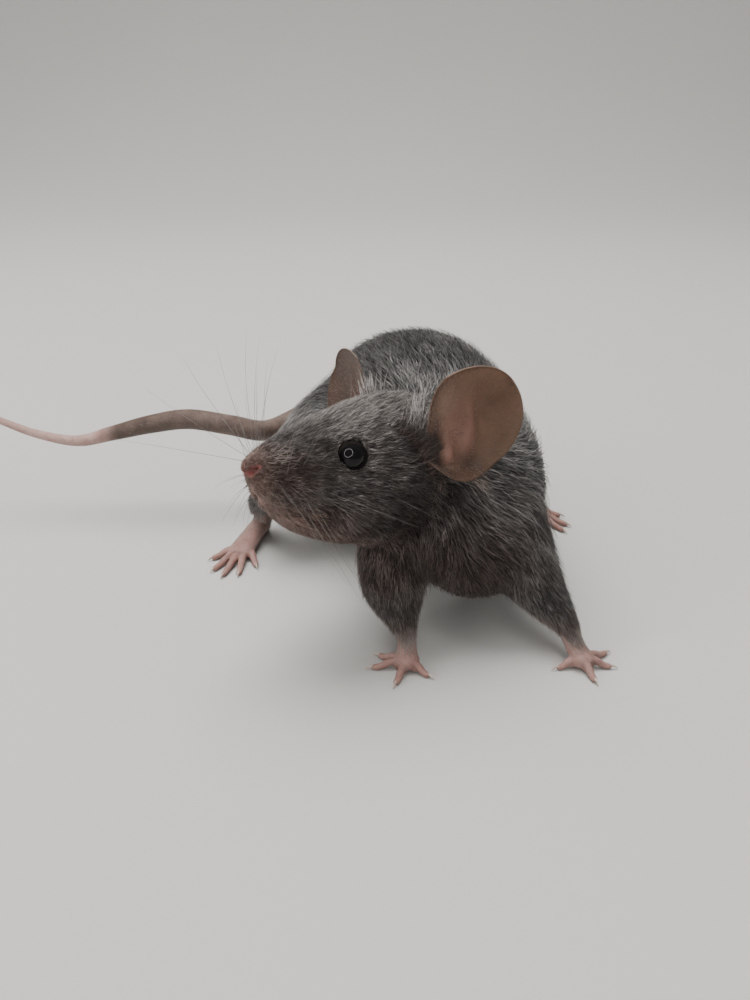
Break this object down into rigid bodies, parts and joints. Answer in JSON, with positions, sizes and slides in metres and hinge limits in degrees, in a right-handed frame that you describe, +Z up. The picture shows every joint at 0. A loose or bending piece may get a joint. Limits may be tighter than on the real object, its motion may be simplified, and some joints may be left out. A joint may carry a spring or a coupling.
{
  "type": "grey mouse",
  "caption": "Live grey mouse, life size, standing on four feet with its head turned to its right, ears spread and tail curled out to its right side.",
  "frame": {"origin": "under the middle of the animal's bounding box, on the floor its feet stand on", "axes": "+X to the animal's left, +Y back along its body from the forefeet, +Z up"},
  "size_m": [0.1056, 0.0726, 0.0372],
  "materials": {
    "coat": "short grey fur with silvery tips",
    "ear": "thin bare brown skin, satin",
    "eye": "wet black, glossy",
    "skin": "soft pink skin of the feet",
    "tail_skin": "finely ringed grey-brown skin"
  },
  "bodies": {
    "root": {"head": "coat", "neck": "coat", "torso": "coat", "foreleg_left": "coat", "foreleg_right": "coat", "hindleg_left": "coat", "hindleg_right": "coat", "forepaw_left": "skin", "forepaw_right": "skin", "hindpaw_left": "skin", "hindpaw_right": "skin", "ear_left": "ear", "ear_right": "ear", "eye_left": "eye", "eye_right": "eye", "tail_1": "tail_skin", "tail_2": "tail_skin", "tail_3": "tail_skin"}
  },
  "joints": []
}
